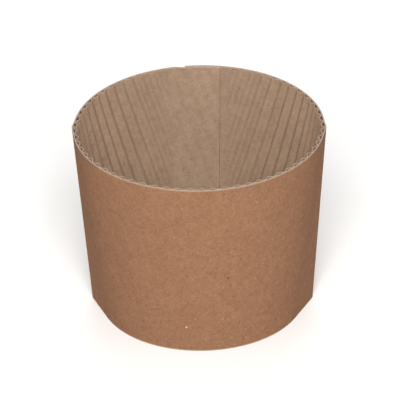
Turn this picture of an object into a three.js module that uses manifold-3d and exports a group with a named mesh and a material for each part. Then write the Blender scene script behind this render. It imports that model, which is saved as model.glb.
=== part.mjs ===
// Coffee cup sleeve of single-face corrugated board, in millimetres, +Z up, standing on its narrow end.
// A smooth liner outside and a fluted medium glued inside it are cut as one curved blank, wrapped into a
// tapered ring and glued in a lap at the back. A crease down each side lets the sleeve fold flat.
import * as THREE from "three";
import { mergeVertices } from "three/addons/utils/BufferGeometryUtils.js";
import Module from "manifold-3d";

// Size of the ring, to the outer face of the liner
const height = 65.4;
const topRadius = 41.25;
const bottomRadius = 33.9;

// How far the side creases stand out past the round part, and how tightly the board is bent there
const topCreaseReach = 0.5;
const bottomCreaseReach = 2.8;
const creaseInnerRadius = 0.8;

// Board: liner, medium and the height from the liner's face to the flute tips
const linerThickness = 0.4;
const mediumThickness = 0.28;
const boardThickness = 1.7;
const flutePitch = 4;
const glueLineWidth = 0.64;

// Glued lap: its width at the top rim, the thickness of one pressed ply, the length over which the
// flutes are pressed down towards the lap, and the length of the jog that takes one ply under the other
const lapWidth = 12;
const plyThickness = 0.85;
const crushLength = 6;
const jogLength = 4;

// Fineness of the surfaces
const bandCount = 4;
const stepsPerFlute = 6;
const linerStep = 2.4;
const creaseSteps = 4;

// How far the cutting forms run past the rims
const overrun = 1;

const { acos, ceil, cos, floor, hypot, min, PI, sign, sin } = Math;
const { lerp, smoothstep } = THREE.MathUtils;

const creaseRadius = boardThickness + creaseInnerRadius;
const fluteHeight = boardThickness - linerThickness - mediumThickness;

// Outline of the liner's face at height z: round at the front and back, flat beside each crease.
function outlineAt(z) {
  const rise = z / height;
  const radius = lerp(bottomRadius, topRadius, rise);
  const creaseCentre = radius + lerp(bottomCreaseReach, topCreaseReach, rise) - creaseRadius;
  const creaseTurn = acos((radius - creaseRadius) / creaseCentre);
  const round = radius * (PI / 2 - creaseTurn);
  const panel = creaseCentre * sin(creaseTurn);
  const crease = creaseRadius * creaseTurn;
  return { radius, creaseCentre, creaseTurn, round, panel, crease, length: 4 * (round + panel + crease) };
}

// Flat blank: a piece of a ring whose two arcs become the rims.
const slant = hypot(height, topRadius - bottomRadius);
const blankAngle = (outlineAt(height).length - outlineAt(0).length) / slant;
const blankRadiusAt = (z) => outlineAt(0).length / blankAngle + (slant * z) / height;
const halfBlank = blankAngle / 2;
const halfLap = lapWidth / 2 / blankRadiusAt(height);
const jog = jogLength / blankRadiusAt(height);

// The fluted stretch of the blank, from the end of the jog on the left to the lap on the right.
const leftFluteEnd = -halfBlank + halfLap + jog;
const rightFluteEnd = halfBlank - halfLap;

// Point at height z, at a turn of the blank from the front centre line, inset from the liner's face.
function pointOn(turn, inset, z) {
  const { radius, creaseCentre, creaseTurn, round, panel, length } = outlineAt(z);
  const run = (turn / blankAngle) * length;
  const around = Math.abs(run) > length / 2 ? run - sign(run) * length : run;
  const side = sign(around) || 1;
  const fromFront = Math.abs(around);
  const onBack = fromFront > length / 4;
  const along = onBack ? length / 2 - fromFront : fromFront;

  let facing = PI / 2 - creaseTurn;
  let x;
  let y;
  if (along <= round) {
    facing = along / radius;
    x = radius * sin(facing);
    y = -radius * cos(facing);
  } else if (along <= round + panel) {
    x = radius * sin(facing) + (along - round) * cos(facing);
    y = -radius * cos(facing) + (along - round) * sin(facing);
  } else {
    facing += (along - round - panel) / creaseRadius;
    x = creaseCentre + creaseRadius * sin(facing);
    y = -creaseRadius * cos(facing);
  }
  x -= inset * sin(facing);
  y += inset * cos(facing);
  return new THREE.Vector3(side * x, onBack ? -y : y, z);
}

// The flutes run straight up the flat blank, so a flute line keeps its distance from the centre line.
const turnAt = (across, z) => Math.asin(across / blankRadiusAt(z));
const leftEndAt = (z) => blankRadiusAt(z) * sin(leftFluteEnd);
const rightEndAt = (z) => blankRadiusAt(z) * sin(rightFluteEnd);

// How much of its height a flute keeps: all of it along the wall, none where the lap presses it flat.
function fullnessAt(across, z) {
  const fromEnd = min(across - leftEndAt(z), rightEndAt(z) - across);
  return smoothstep(fromEnd, 0, crushLength);
}

// Inset of the medium's inner face, which waves once per pitch and is glued down on the centre line.
function mediumInset(across) {
  const wave = (1 - cos((2 * PI * across) / flutePitch)) / 2;
  return linerThickness + mediumThickness + fluteHeight * wave;
}

// Inset of the medium's outer face, which is the roof of a flute's tunnel.
function roofInset(across) {
  const slope = ((PI * fluteHeight) / flutePitch) * sin((2 * PI * across) / flutePitch);
  return mediumInset(across) - mediumThickness * hypot(1, slope);
}

// Point of the board at a distance across the blank, kept within the fluted stretch.
function flutePoint(across, insetAt, pressedInset, z) {
  const kept = THREE.MathUtils.clamp(across, leftEndAt(z), rightEndAt(z));
  const inset = lerp(pressedInset, insetAt(kept), fullnessAt(kept, z));
  return pointOn(turnAt(kept, z), inset, z);
}

const wasm = await Module();
wasm.setup();

// Closed solid through one loop of points per height, with flat ends. The loops run anticlockwise.
function loft(heights, loopAt) {
  const loops = heights.map(loopAt);
  const corners = [];
  const face = (a, b, c) => corners.push(...a, ...b, ...c);

  for (let level = 1; level < loops.length; level += 1) {
    const lower = loops[level - 1];
    const upper = loops[level];
    lower.forEach((corner, i) => {
      const next = (i + 1) % lower.length;
      face(corner, lower[next], upper[next]);
      face(corner, upper[next], upper[i]);
    });
  }

  const addEnd = (loop, facesUp) => {
    const middle = new THREE.Vector3();
    loop.forEach((corner) => middle.addScaledVector(corner, 1 / loop.length));
    loop.forEach((corner, i) => {
      const next = loop[(i + 1) % loop.length];
      face(middle, ...(facesUp ? [corner, next] : [next, corner]));
    });
  };
  addEnd(loops[0], false);
  addEnd(loops.at(-1), true);
  return solidFrom(corners);
}

// Manifold solid of a list of corner coordinates, without the faces that closed up to a line or a pair.
const weld = 1e-4;
function solidFrom(corners) {
  const geometry = new THREE.BufferGeometry();
  geometry.setAttribute("position", new THREE.Float32BufferAttribute(corners, 3));
  const merged = mergeVertices(geometry, weld);
  const faces = new Map();
  for (let i = 0; i < merged.index.count; i += 3) {
    const face = [...merged.index.array.slice(i, i + 3)];
    const key = [...face].sort((a, b) => a - b).join();
    if (faces.has(key)) {
      faces.delete(key);
    } else if (new Set(face).size === 3) {
      faces.set(key, face);
    }
  }
  const mesh = new wasm.Mesh({
    numProp: 3,
    vertProperties: merged.attributes.position.array,
    triVerts: new Uint32Array([...faces.values()].flat()),
  });
  return new wasm.Manifold(mesh);
}

const levels = Array.from({ length: bandCount + 1 }, (_, i) => (height * i) / bandCount);
const cutLevels = [-overrun, ...levels.slice(1, -1), height + overrun];

// Outer face of the liner, with the pressed end of the board stepping in under the lap's free edge.
function linerForm() {
  const lapEdge = halfBlank + halfLap;
  const count = ceil(((lapEdge - leftFluteEnd) * blankRadiusAt(height)) / linerStep);
  const turns = Array.from({ length: count + 1 }, (_, i) => lerp(leftFluteEnd, lapEdge, i / count));
  const halfCrease = outlineAt(0).crease / blankRadiusAt(0);
  for (const crease of [-blankAngle / 4, blankAngle / 4]) {
    for (let i = -creaseSteps; i <= creaseSteps; i += 1) {
      turns.push(crease + (halfCrease * i) / creaseSteps);
    }
  }
  turns.sort((a, b) => a - b);
  return loft(levels, (z) => [
    ...turns.map((turn) => pointOn(turn, 0, z)),
    pointOn(lapEdge, plyThickness, z),
  ]);
}

// Hollow of the ring: the waved face of the medium, and the inner ply of the lap with its free edge.
function hollowForm() {
  const step = flutePitch / stepsPerFlute;
  const first = floor(leftEndAt(height) / step);
  const last = ceil(rightEndAt(height) / step);
  const lines = Array.from({ length: last - first + 1 }, (_, i) => (first + i) * step);
  return loft(cutLevels, (z) => [
    ...lines.map((across) => flutePoint(across, mediumInset, plyThickness, z)),
    pointOn(halfBlank - halfLap, 2 * plyThickness, z),
    pointOn(halfBlank, 2 * plyThickness, z),
    pointOn(halfBlank + halfLap, 2 * plyThickness, z),
  ]);
}

// Tunnel between the liner and one flute of the medium, open at the rims.
function tunnelForm(crest) {
  const halfFoot = (flutePitch - glueLineWidth) / 2;
  const step = flutePitch / stepsPerFlute;
  const roofLines = [];
  for (let across = step * (stepsPerFlute / 2 - 1); across > -halfFoot; across -= step) {
    roofLines.push(crest + across);
  }
  const foot = () => linerThickness;
  return loft(cutLevels, (z) => [
    flutePoint(crest - halfFoot, foot, linerThickness, z),
    flutePoint(crest + halfFoot, foot, linerThickness, z),
    ...roofLines.map((across) => flutePoint(across, roofInset, linerThickness, z)),
  ]);
}

// Crest lines lie half a pitch off the glue lines. Only flutes with their full width at the top rim are open.
function tunnelForms() {
  const tunnels = [];
  const halfPitch = flutePitch / 2;
  const first = ceil(leftEndAt(height) / flutePitch) * flutePitch + halfPitch;
  for (let crest = first; crest + halfPitch < rightEndAt(height); crest += flutePitch) {
    tunnels.push(tunnelForm(crest));
  }
  return tunnels;
}

function sleeveGeometry() {
  const cuts = wasm.Manifold.union([hollowForm(), ...tunnelForms()]);
  const { vertProperties, triVerts } = linerForm().subtract(cuts).getMesh();
  const geometry = new THREE.BufferGeometry();
  geometry.setAttribute("position", new THREE.BufferAttribute(vertProperties, 3));
  geometry.setIndex(new THREE.BufferAttribute(triVerts, 1));
  return geometry.toNonIndexed();
}

const kraftBoard = new THREE.MeshStandardMaterial({ color: 0xab7e64, roughness: 0.9, metalness: 0 });
kraftBoard.name = "kraft_board";

const sleeve = new THREE.Mesh(sleeveGeometry(), kraftBoard);
sleeve.name = "sleeve";
sleeve.geometry.computeVertexNormals();

const cupSleeve = new THREE.Group();
cupSleeve.add(sleeve);

export default cupSleeve;
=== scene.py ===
# %% [markdown]
# # A coffee cup sleeve of corrugated kraft board
#
# The sleeve is made of two papers. A smooth kraft liner faces out, and a fluted medium is glued inside it.
# Both were cut as one flat, curved blank, folded at two creases and glued to themselves in a lap at the
# back. This lesson draws that blank with real paper thickness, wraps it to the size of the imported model,
# and gives each paper its own surface. Lengths are in millimetres until a mesh is made, in metres.

# %% Load the frame
import math

import bmesh
import bpy
import numpy as np
from mathutils import Matrix, Vector


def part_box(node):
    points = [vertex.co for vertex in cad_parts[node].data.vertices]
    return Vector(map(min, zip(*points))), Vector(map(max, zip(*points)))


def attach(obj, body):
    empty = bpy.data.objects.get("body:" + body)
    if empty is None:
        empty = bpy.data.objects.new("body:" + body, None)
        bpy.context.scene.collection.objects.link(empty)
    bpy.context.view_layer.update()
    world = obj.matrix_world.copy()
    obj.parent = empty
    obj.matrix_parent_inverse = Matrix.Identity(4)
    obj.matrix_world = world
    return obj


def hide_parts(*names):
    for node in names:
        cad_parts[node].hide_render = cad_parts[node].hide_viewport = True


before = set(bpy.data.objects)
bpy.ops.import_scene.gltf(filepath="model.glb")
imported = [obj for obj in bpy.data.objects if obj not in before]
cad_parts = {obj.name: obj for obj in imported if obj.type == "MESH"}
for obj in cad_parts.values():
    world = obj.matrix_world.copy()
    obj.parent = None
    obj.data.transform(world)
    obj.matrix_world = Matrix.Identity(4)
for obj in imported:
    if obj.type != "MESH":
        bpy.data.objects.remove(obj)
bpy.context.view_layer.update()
MM = 0.001

# %% [markdown]
# ## Sizes
#
# The ring's height and its largest half widths come from the frame, so the papers keep the height and the
# width of the solid. The rest can't be read from its box: they are the sizes of the board, of the narrow end
# and of the lap, as the solid has them.

# %% Sizes in millimetres
low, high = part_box("sleeve")
HEIGHT = (high[2] - low[2]) / MM
TOP_RADIUS = (high[1] - low[1]) / 2 / MM
TOP_CREASE_REACH = (high[0] - low[0]) / 2 / MM - TOP_RADIUS
BOTTOM_RADIUS = 33.9
BOTTOM_CREASE_REACH = 2.8

LINER = 0.4
MEDIUM = 0.28
BOARD = 1.7
PITCH = 4.0
CREASE_RADIUS = BOARD + 0.8
FLUTE_HEIGHT = BOARD - LINER - MEDIUM

LAP = 12.0
PLY = 0.85
CRUSH = 6.0
JOG = 4.0

print("ring:", round(HEIGHT, 2), "high,", round(TOP_RADIUS, 2), "and", BOTTOM_RADIUS, "in radius")

# %% [markdown]
# ## The wrapped blank
#
# At each height the ring's outline is made of round stretches at the front and back, flat panels beside the
# creases, and a tight bend at each crease. A bend modifier gives one even curve only, so the points are
# worked out instead. `wrap` takes points of the flat blank, given as a turn from the front centre line, a
# depth below the liner's face and a height, and returns them on the ring.


# %% Wrap points of the flat blank round the ring
def outline(z):
    """Radii, bend angle and lengths of the ring's outline at height z."""
    rise = z / HEIGHT
    radius = BOTTOM_RADIUS + (TOP_RADIUS - BOTTOM_RADIUS) * rise
    reach = BOTTOM_CREASE_REACH + (TOP_CREASE_REACH - BOTTOM_CREASE_REACH) * rise
    centre = radius + reach - CREASE_RADIUS
    bend = np.arccos((radius - CREASE_RADIUS) / centre)
    round_length = radius * (math.pi / 2 - bend)
    panel = centre * np.sin(bend)
    return radius, centre, bend, round_length, panel, 4 * (round_length + panel + CREASE_RADIUS * bend)


TOP_LENGTH = float(outline(HEIGHT)[-1])
BOTTOM_LENGTH = float(outline(0.0)[-1])
SLANT = math.hypot(HEIGHT, TOP_RADIUS - BOTTOM_RADIUS)
BLANK_ANGLE = (TOP_LENGTH - BOTTOM_LENGTH) / SLANT
HALF_LAP = LAP / 2 / (TOP_LENGTH / BLANK_ANGLE)
JOG_TURN = JOG / (TOP_LENGTH / BLANK_ANGLE)


def blank_radius(z):
    """Distance of height z from the point where the straight lines of the flat blank would meet."""
    return BOTTOM_LENGTH / BLANK_ANGLE + SLANT * z / HEIGHT


def wrap(turn, depth, z):
    """Points of the ring, in millimetres, for arrays of turns, depths and heights."""
    radius, centre, bend, round_length, panel, length = outline(z)
    run = turn / BLANK_ANGLE * length
    run = run - np.round(run / length) * length
    from_front = np.abs(run)
    on_back = from_front > length / 4
    along = np.where(on_back, length / 2 - from_front, from_front)

    flat_facing = math.pi / 2 - bend
    past_round = np.clip(along - round_length, 0, panel)
    past_panel = np.clip(along - round_length - panel, 0, None)
    facing = np.minimum(along / radius, flat_facing) + past_panel / CREASE_RADIUS
    on_crease = past_panel > 0
    side = radius * np.sin(facing) + past_round * np.cos(facing)
    front = -radius * np.cos(facing) + past_round * np.sin(facing)
    x = np.where(on_crease, centre + CREASE_RADIUS * np.sin(facing), side)
    y = np.where(on_crease, -CREASE_RADIUS * np.cos(facing), front)
    x = (x - depth * np.sin(facing)) * np.where(run < 0, -1, 1)
    y = (y + depth * np.cos(facing)) * np.where(on_back, -1, 1)
    return np.stack([x, y, np.broadcast_to(z, x.shape)], axis=-1)


print("blank:", round(math.degrees(BLANK_ANGLE), 1), "degrees,", round(TOP_LENGTH, 1), "round the top")

# %% [markdown]
# ## Paper as a closed sheet
#
# Solidify could thicken a single sheet, but its edges would be perfectly sharp, and a cut edge never is. So
# a paper is a grid of points on its outer face and one on its inner face, which draw together a little in
# the last rows, and the four cut edges join them. The edges and these narrow rows come last in the mesh, so
# that they can take the paler look of cut paper.


# %% Build a sheet of paper
EDGE_ROUNDING = 0.05
ROWS = 32
print("row height:", round(HEIGHT / ROWS, 2), "mm")


def row_heights(rows):
    """Heights of the grid's rows, with two extra rows just inside each rim that keep its bevel narrow."""
    near = np.array([0, EDGE_ROUNDING, 3 * EDGE_ROUNDING])
    inner = np.linspace(0, HEIGHT, rows + 1)[1:-1]
    return np.concatenate([near, inner, HEIGHT - near[::-1]])


def pinch(z):
    """How far each face draws in at a rim."""
    return np.where((z <= 0) | (z >= HEIGHT), EDGE_ROUNDING, 0.0)


def paper(name, outer, inner):
    """A closed sheet between two grids of points of the same shape, rows by columns, in millimetres."""
    rows, columns = outer.shape[:2]
    vertices = np.concatenate([outer.reshape(-1, 3), inner.reshape(-1, 3)]) * MM
    out_at = np.arange(rows * columns).reshape(rows, columns)
    in_at = out_at + rows * columns

    def quads(a, b):
        """Faces between two neighbouring lines of corners, seen with a below b and running left to right."""
        return np.stack([a[:-1], a[1:], b[1:], b[:-1]], axis=-1)

    faces = [quads(out_at[i], out_at[i + 1]) for i in range(1, rows - 2)]
    faces += [quads(in_at[i + 1], in_at[i]) for i in range(1, rows - 2)]
    body_count = sum(len(block) for block in faces)
    for i in (0, rows - 2):
        faces += [quads(out_at[i], out_at[i + 1]), quads(in_at[i + 1], in_at[i])]
    faces += [quads(out_at[-1], in_at[-1]), quads(in_at[0], out_at[0])]
    faces += [quads(out_at[:, 0], in_at[:, 0]), quads(in_at[:, -1], out_at[:, -1])]
    faces = np.concatenate(faces)

    mesh = bpy.data.meshes.new(name)
    mesh.from_pydata(vertices, [], faces.tolist())
    piece = bpy.data.objects.new(name, mesh)
    bpy.context.collection.objects.link(piece)
    return piece, body_count


# %% [markdown]
# ## Where the board is pressed
#
# One end of the blank jogs inwards and runs under the other. Near the lap the flutes are pressed down to a
# faint ripple, so that two plies lie in the thickness of one board. Both changes are smooth steps, because
# board that is pressed or bent has no sharp start.


# %% Jog and pressing near the lap
def smooth(value):
    """A step from 0 to 1 that starts and ends gently."""
    value = np.clip(value, 0, 1)
    return value * value * (3 - 2 * value)


RIPPLE = (PLY - LINER - MEDIUM) / FLUTE_HEIGHT


def jog_depth(turn):
    """How far the tucked end of the blank lies below the face of the ring."""
    start = -BLANK_ANGLE / 2 + HALF_LAP
    return PLY * (1 - smooth((turn - start) / JOG_TURN))


def flute_fullness(across, z):
    """Share of its height that a flute keeps: all along the wall, and a ripple in the lap."""
    left = blank_radius(z) * math.sin(-BLANK_ANGLE / 2 + HALF_LAP + JOG_TURN)
    right = blank_radius(z) * math.sin(BLANK_ANGLE / 2 - HALF_LAP)
    return RIPPLE + (1 - RIPPLE) * smooth(np.minimum(across - left, right - across) / CRUSH)


print("pressed flutes keep", round(RIPPLE * 100), "percent of their height")


# %% [markdown]
# ## The liner
#
# The liner is the smooth face of the sleeve. A cone with two edges pulled out would come close, but it has
# no lap and no flat panels, so the liner is wrapped like the real one. Its columns lie along the straight
# lines from rim to rim, and they are closer together where a crease bends it.

# %% Make the liner
END_TURN = BLANK_ANGLE / 2 + HALF_LAP
LINER_STEP = 1.2
CREASE_STEPS = 12


def liner_columns():
    """Turns of the liner's columns, from one end of the blank to the other."""
    count = math.ceil(2 * END_TURN * blank_radius(HEIGHT) / LINER_STEP)
    even = np.linspace(-END_TURN, END_TURN, count + 1)
    crease = BLANK_ANGLE / 4
    spread = 2 * CREASE_RADIUS / blank_radius(0)
    near = np.linspace(-spread, spread, 2 * CREASE_STEPS + 1)
    return np.unique(np.concatenate([even, crease + near, -crease + near]))


def make_liner():
    """The outer paper, from the face of the ring to its own thickness below."""
    turn, z = np.meshgrid(liner_columns(), row_heights(ROWS))
    face = jog_depth(turn)
    return paper("liner", wrap(turn, face + pinch(z), z), wrap(turn, face + LINER - pinch(z), z))


liner, liner_body = make_liner()
print("liner:", len(liner.data.vertices), "vertices")

# %% [markdown]
# ## The fluted medium
#
# The flutes run straight up the flat blank, so they stand upright at the front and lean towards the lap at
# the back. An array of one flute would follow the ring instead of the blank, so the wave is worked out
# across the flat blank and then wrapped. No two flutes come off the rollers quite alike: each has its own
# height and its own small shift, from a seeded generator that gives the same flutes every time.

# %% Make the fluted medium
STEPS_PER_FLUTE = 14
HEIGHT_LOSS = 0.08
SHIFT = 0.07


def flute_variation(across):
    """Height share and sideways shift of the flute at each distance across the blank."""
    count = math.ceil(2 * blank_radius(HEIGHT) * math.sin(END_TURN) / PITCH) + 4
    spread = np.random.default_rng(12)
    share = 1 - HEIGHT_LOSS * spread.random(count)
    shift = SHIFT * PITCH * (2 * spread.random(count + 1) - 1)
    flute = across / PITCH + count / 2
    return share[np.clip(flute.astype(int), 0, count - 1)], np.interp(flute, np.arange(count + 1), shift)


def medium_depths(across, z):
    """Depths of the medium's outer and inner faces below the face of the liner."""
    share, shift = flute_variation(across)
    phase = 2 * math.pi * (across + shift) / PITCH
    rise = FLUTE_HEIGHT * share * flute_fullness(across, z)
    inner = LINER + MEDIUM + rise * (1 - np.cos(phase)) / 2
    slope = math.pi * rise / PITCH * np.sin(phase)
    return inner - MEDIUM * np.hypot(1, slope), inner


def make_medium():
    """The inner paper. Its columns stand upright on the flat blank, and the blank's ends cut them off."""
    step = PITCH / STEPS_PER_FLUTE
    reach = math.ceil(blank_radius(HEIGHT) * math.sin(END_TURN) / step)
    across, z = np.meshgrid(np.arange(-reach, reach + 1) * step, row_heights(ROWS))
    end = blank_radius(z) * math.sin(END_TURN)
    across = np.clip(across, -end, end)
    turn = np.arcsin(across / blank_radius(z))
    outer_depth, inner_depth = medium_depths(across, z)
    face = jog_depth(turn)
    return paper(
        "fluted_medium",
        wrap(turn, face + outer_depth + pinch(z), z),
        wrap(turn, face + inner_depth - pinch(z), z),
    )


medium, medium_body = make_medium()
print("medium:", len(medium.data.vertices), "vertices")

# %% [markdown]
# ## Kraft paper
#
# Unbleached kraft paper is a pressed mat of brown fibres. Its tone wanders between a darker and a paler brown
# at three sizes: fine grain, mottling a couple of millimetres wide and soft clouds. Bundles of fibres leave
# short crooked marks, darker or paler, and a few bark specks are much darker. The surface is uncoated, so it
# is dull and has a fine tooth. The medium is made of greyer recycled paper, and cut edges are paler and
# greyer, because there the fibres stand open. A flat picture of paper would show a seam on a ring, so all of
# this is noise in space, at sizes in real millimetres.


# %% Helpers for materials
def linear(hex_colour):
    """A hex colour as sRGB, turned into the linear colour that shaders take."""
    parts = [int(hex_colour[i : i + 2], 16) / 255 for i in (1, 3, 5)]
    return tuple(v / 12.92 if v <= 0.04045 else ((v + 0.055) / 1.055) ** 2.4 for v in parts) + (1.0,)


def add_node(tree, kind, inputs=None, **settings):
    """Adds a node, sets its settings, and sets or links each named or numbered input."""
    node = tree.nodes.new(kind)
    for key, value in settings.items():
        setattr(node, key, value)
    for key, value in (inputs or {}).items():
        if isinstance(value, bpy.types.NodeSocket):
            tree.links.new(value, node.inputs[key])
        else:
            node.inputs[key].default_value = value
    return node


def per_metre(size_mm):
    """Scale of a texture whose pattern repeats about every size_mm."""
    return 1 / (size_mm * MM)


def mixed(tree, factor, first, second):
    """Colour between two colours, by a factor socket."""
    # The mix node's colour sockets are inputs 6 and 7 and output 2.
    node = add_node(tree, "ShaderNodeMix", {"Factor": factor, 6: first, 7: second}, data_type="RGBA")
    return node.outputs[2]


def band(tree, value, start, end, most=1.0):
    """A value socket turned into a share, which is 0 up to start and reaches its most at end."""
    inputs = {"Value": value, "From Min": start, "From Max": end, "To Max": most}
    return add_node(tree, "ShaderNodeMapRange", inputs).outputs["Result"]


print("a pattern one millimetre wide has a scale of", per_metre(1))


# %% Grain and marks of paper
GRAIN_SIZES = (0.75, 2.1, 7.0)
MARK_SHIFT = 3.0
MARK_BEND = 1.5

# Dark fibre bundles, pale ones and bark specks: spacing and radius in millimetres, colour and strength
MARKS = (
    (1.9, 0.42, "#6f4a33", 0.36),
    (2.3, 0.4, "#d9b394", 0.24),
    (4.5, 0.3, "#59402f", 0.9),
)


def tone_of(tree, place, shares):
    """Tone from 0 to 1, about 0.5 on average, as a sum of noises with a size and a share each."""
    tone = 0.5 - sum(shares) / 2
    for size, share in zip(GRAIN_SIZES, shares):
        inputs = {"Vector": place, "Scale": per_metre(size), "Detail": 3.0, "Roughness": 0.6}
        noise = add_node(tree, "ShaderNodeTexNoise", inputs)
        inputs = {0: noise.outputs["Fac"], 1: share, 2: tone}
        tone = add_node(tree, "ShaderNodeMath", inputs, operation="MULTIPLY_ADD").outputs[0]
    return tone


def warped(tree, place):
    """Place shifted by up to a millimetre, which draws round marks out into short crooked ones."""
    noise = add_node(tree, "ShaderNodeTexNoise", {"Vector": place, "Scale": per_metre(MARK_BEND)})
    inputs = {0: noise.outputs["Color"], 1: (MARK_SHIFT * MM,) * 3, 2: place}
    return add_node(tree, "ShaderNodeVectorMath", inputs, operation="MULTIPLY_ADD").outputs[0]


def with_marks(tree, place, paint, mark_strength):
    """Paint with the fibre bundles and bark specks over it."""
    crooked = warped(tree, place)
    for spacing, radius, colour, strength in MARKS:
        inputs = {"Vector": crooked, "Scale": per_metre(spacing)}
        centres = add_node(tree, "ShaderNodeTexVoronoi", inputs)
        reach = radius / spacing
        mark = band(tree, centres.outputs["Distance"], reach, reach / 2, strength * mark_strength)
        paint = mixed(tree, mark, paint, linear(colour))
    return paint


print("grain of", GRAIN_SIZES, "mm and", len(MARKS), "kinds of mark")

# %% [markdown]
# ## One material for each paper
#
# Paper isn't metal and hardly shines, so its roughness is near 0.9 and its specular level is low. The tooth
# of real paper, under a tenth of a millimetre, is too fine to show, so its bump is drawn a little coarser.

# %% Paper material
TOOTH_SIZE = 0.3
TOOTH_HEIGHT = 0.04
DULL = 0.2


def paper_material(name, dark, pale, shares, mark_strength, roughness, tooth):
    """Uncoated paper between two tones. shares weigh the noises from the finest to the broadest."""
    material = bpy.data.materials.new(name)
    material.use_nodes = True
    tree = material.node_tree
    shader = tree.nodes["Principled BSDF"]
    place = add_node(tree, "ShaderNodeTexCoord").outputs["Object"]
    paint = mixed(tree, tone_of(tree, place, shares), linear(dark), linear(pale))

    paint = with_marks(tree, place, paint, mark_strength)

    inputs = {"Vector": place, "Scale": per_metre(TOOTH_SIZE), "Detail": 5.0}
    fine = add_node(tree, "ShaderNodeTexNoise", inputs)
    inputs = {"Height": fine.outputs["Fac"], "Strength": tooth, "Distance": TOOTH_HEIGHT * MM}
    relief = add_node(tree, "ShaderNodeBump", inputs)
    tree.links.new(paint, shader.inputs["Base Color"])
    tree.links.new(relief.outputs["Normal"], shader.inputs["Normal"])
    shader.inputs["Roughness"].default_value = roughness
    shader.inputs["Specular IOR Level"].default_value = DULL
    return material


KRAFT = paper_material("kraft_paper_uncoated", "#7b5138", "#ba8c6c", (0.76, 0.38, 0.22), 1.0, 0.88, 0.5)
FLUTING = paper_material("recycled_fluting_paper", "#846a56", "#bb9f86", (0.7, 0.5, 0.36), 0.6, 0.92, 0.6)
CUT = paper_material("die_cut_paper_edge", "#8c7766", "#bfac9c", (0.9, 0.4, 0.2), 0.1, 0.95, 0.8)
print("materials:", [m.name for m in bpy.data.materials])

# %% [markdown]
# ## Flecks and a painted highlight along the rims
#
# The front of the liner carries a bark fleck, a pale fibre knot and a few small specks. Noise can't put a
# mark at a chosen place, so each of these is the distance from its own point on the face, made ragged by a
# little noise. A pale hairline along each rim of the liner's face is a painted highlight, where light catches
# the cut edge.

# %% Marks on the liner's face
# Millimetres round from the front centre line and up from the bottom, radius, colour and strength
FLECKS = (
    (10.1, 29.3, 0.55, "#5a3a28", 0.85),
    (-4.0, 9.7, 0.42, "#f3dcc4", 0.9),
    (-4.8, 41.7, 0.38, "#6b452f", 0.7),
    (-3.8, 34.3, 0.36, "#6b452f", 0.7),
    (-12.8, 10.4, 0.4, "#7a5138", 0.7),
    (-15.9, 15.0, 0.34, "#7a5138", 0.6),
    (4.8, 49.6, 0.34, "#6b452f", 0.6),
    (11.6, 45.9, 0.34, "#6b452f", 0.6),
)
FLECK_CORE = 0.9
FLECK_RIM = 1.5


def on_face(round_mm, up_mm):
    """Point of the liner's face at a distance round from the front centre line and up from the bottom."""
    length = outline(up_mm)[-1]
    return wrap(np.array(round_mm / length * BLANK_ANGLE), np.array(0.0), np.array(up_mm)) * MM


def with_flecks(tree, place, paint):
    """Paint with each fleck at its own place."""
    ragged = add_node(tree, "ShaderNodeTexNoise", {"Vector": place, "Scale": per_metre(0.5), "Detail": 3.0})
    for round_mm, up_mm, radius, colour, strength in FLECKS:
        centre = tuple(float(v) for v in on_face(round_mm, up_mm))
        away = add_node(tree, "ShaderNodeVectorMath", {0: place, 1: centre}, operation="DISTANCE")
        inputs = {0: ragged.outputs["Fac"], 1: radius * MM, 2: away.outputs["Value"]}
        edge = add_node(tree, "ShaderNodeMath", inputs, operation="MULTIPLY_ADD").outputs[0]
        spot = band(tree, edge, FLECK_RIM * radius * MM, FLECK_CORE * radius * MM, strength)
        paint = mixed(tree, spot, paint, linear(colour))
    return paint


# %% Painted highlight along the rims
# Painted highlight: width, fade and pale tone of a hairline along each rim, where light catches the cut edge
RIM_HIGHLIGHT_WIDTH = 0.3
RIM_HIGHLIGHT_FADE = 0.2
RIM_HIGHLIGHT_TONE = "#c2a48a"


def with_painted_rim_highlight(tree, place, paint):
    """Paint with a painted highlight: a pale hairline along each rim, where light catches the cut edge, which
    is stronger at the bottom.
    """
    up = add_node(tree, "ShaderNodeSeparateXYZ", {"Vector": place}).outputs["Z"]
    bottom = (RIM_HIGHLIGHT_WIDTH + RIM_HIGHLIGHT_FADE, RIM_HIGHLIGHT_WIDTH, 0.8)
    top = (HEIGHT - RIM_HIGHLIGHT_WIDTH - RIM_HIGHLIGHT_FADE, HEIGHT - RIM_HIGHLIGHT_WIDTH, 0.45)
    for start, end, strength in (bottom, top):
        painted_highlight = band(tree, up, start * MM, end * MM, strength)
        paint = mixed(tree, painted_highlight, paint, linear(RIM_HIGHLIGHT_TONE))
    return paint


def mark_face(material):
    """Puts the flecks and the painted highlight along the rims between the paper's paint and its shader."""
    tree = material.node_tree
    base_colour = tree.nodes["Principled BSDF"].inputs["Base Color"]
    paint = base_colour.links[0].from_socket
    place = add_node(tree, "ShaderNodeTexCoord").outputs["Object"]
    paint = with_flecks(tree, place, paint)
    # Painted highlight: a pale hairline along both rims, where light catches the cut edge
    paint = with_painted_rim_highlight(tree, place, paint)
    tree.links.new(paint, base_colour)


# The flecks, and a painted highlight along both rims
mark_face(KRAFT)
print("marks:", len(FLECKS), "flecks and two painted rim highlights")

# %% [markdown]
# ## Dress the pieces
#
# The faces that come last in each mesh take the cut look. At the ends of the blank the medium's columns run
# out one by one, so the points that lie together there are joined. Shading is smooth but for edges sharper
# than 50 degrees, so the flutes look round and the cut edges crisp. Both papers ride on the one body and
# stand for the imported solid.


# %% Join points and shade smoothly
def join_points(mesh):
    """Joins points that lie together, which also drops the faces that have shrunk to nothing."""
    shape = bmesh.new()
    shape.from_mesh(mesh)
    bmesh.ops.remove_doubles(shape, verts=shape.verts, dist=0.001 * MM)
    shape.to_mesh(mesh)
    shape.free()


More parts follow.
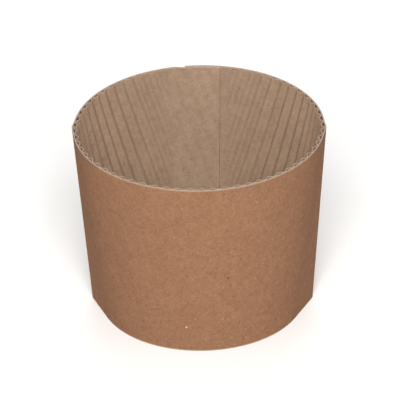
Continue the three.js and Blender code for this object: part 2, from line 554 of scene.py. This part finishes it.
def shade(mesh):
    """Smooth shading with sharp cut edges."""
    mesh.polygons.foreach_set("use_smooth", np.ones(len(mesh.polygons), dtype=bool))
    mesh.set_sharp_from_angle(angle=math.radians(50))


def dress(piece, body_count, surface):
    """The paper's own surface on its faces and the cut look on its edges."""
    piece.data.materials.append(surface)
    piece.data.materials.append(CUT)
    for polygon in piece.data.polygons:
        if polygon.index >= body_count:
            polygon.material_index = 1
    join_points(piece.data)
    shade(piece.data)
    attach(piece, "root")
    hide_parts("sleeve")


dress(liner, liner_body, KRAFT)
dress(medium, medium_body, FLUTING)

# %% [markdown]
# ## Floor, light and camera
#
# A plain pale floor, a broad soft light above and in front, and weaker ones that open the shadows at the
# sides and the back. A floor as bright as it looks would throw too much light up at the wall, so it is white
# only to the camera and grey to the light that it passes on. The long lens keeps the tapered ring nearly
# free of perspective.


# %% Floor
def studio_floor():
    """A pale floor that is darker to all but the camera."""
    size = 6.0
    mesh = bpy.data.meshes.new("floor")
    corners = [(-size, -size, 0), (size, -size, 0), (size, size, 0), (-size, size, 0)]
    mesh.from_pydata(corners, [], [(0, 1, 2, 3)])
    floor = bpy.data.objects.new("floor", mesh)
    bpy.context.collection.objects.link(floor)
    surface = bpy.data.materials.new("pale_floor")
    surface.use_nodes = True
    tree = surface.node_tree
    seen = add_node(tree, "ShaderNodeLightPath").outputs["Is Camera Ray"]
    colour = mixed(tree, seen, linear("#a3a19e"), linear("#f7f6f4"))
    tree.links.new(colour, tree.nodes["Principled BSDF"].inputs["Base Color"])
    tree.nodes["Principled BSDF"].inputs["Roughness"].default_value = 0.9
    mesh.materials.append(surface)


studio_floor()

# %% Light
# Name, azimuth and elevation in degrees, distance and size in metres, power in watts
LIGHTS = (
    ("key_light", 2, 42, 1.1, 0.5, 12.2),
    ("left_fill", -75, 25, 1.0, 0.6, 1.0),
    ("right_fill", 75, 25, 1.0, 0.6, 1.0),
    ("back_fill", 180, 30, 1.2, 0.8, 5.0),
)
SKY_STRENGTH = 0.4


def soft_light(name, azimuth, elevation, distance, size, power):
    """A square lamp that faces the middle of the sleeve."""
    middle = Vector((0, 0, HEIGHT / 2 * MM))
    a, e = math.radians(azimuth), math.radians(elevation)
    away = Vector((math.sin(a) * math.cos(e), -math.cos(a) * math.cos(e), math.sin(e)))
    lamp = bpy.data.lights.new(name, "AREA")
    lamp.size = size
    lamp.energy = power
    light = bpy.data.objects.new(name, lamp)
    light.location = middle + away * distance
    light.rotation_euler = (-away).to_track_quat("-Z", "Y").to_euler()
    bpy.context.collection.objects.link(light)


for light in LIGHTS:
    soft_light(*light)

world = bpy.data.worlds.new("studio")
bpy.context.scene.world = world
world.use_nodes = True
sky = world.node_tree.nodes["Background"]
sky.inputs["Color"].default_value = linear("#ffffff")
sky.inputs["Strength"].default_value = SKY_STRENGTH
print("lights:", [light[0] for light in LIGHTS])

# %% Camera at the photograph's angle
# Angles in degrees, distance in metres, focal length in millimetres on a sensor 36 mm wide
AZIMUTH = 2.33
ELEVATION = 30.71
ROLL = -1.21
DISTANCE = 1.772
LENS = 483.1
SENSOR = 36.0

# The point that the camera faces, to the side of the ring's axis and up from the floor
AIM_SIDE = -0.16 * MM
AIM_HEIGHT = 37.5 * MM


def photo_camera():
    """A long lens at the photograph's angle, leaning by its roll."""
    a, e = math.radians(AZIMUTH), math.radians(ELEVATION)
    away = Vector((math.sin(a) * math.cos(e), -math.cos(a) * math.cos(e), math.sin(e)))
    aim = Vector((AIM_SIDE * math.cos(a), AIM_SIDE * math.sin(a), AIM_HEIGHT))
    data = bpy.data.cameras.new("camera")
    data.lens = LENS
    data.sensor_width = SENSOR
    data.clip_end = 20.0
    camera = bpy.data.objects.new("camera", data)
    bpy.context.collection.objects.link(camera)
    turned = (-away).to_track_quat("-Z", "Y").to_matrix() @ Matrix.Rotation(math.radians(ROLL), 3, "Z")
    camera.matrix_world = Matrix.Translation(aim + away * DISTANCE) @ turned.to_4x4()
    bpy.context.scene.camera = camera


photo_camera()
bpy.context.scene.view_settings.view_transform = "Standard"
print("camera:", [round(v, 3) for v in bpy.context.scene.camera.location])
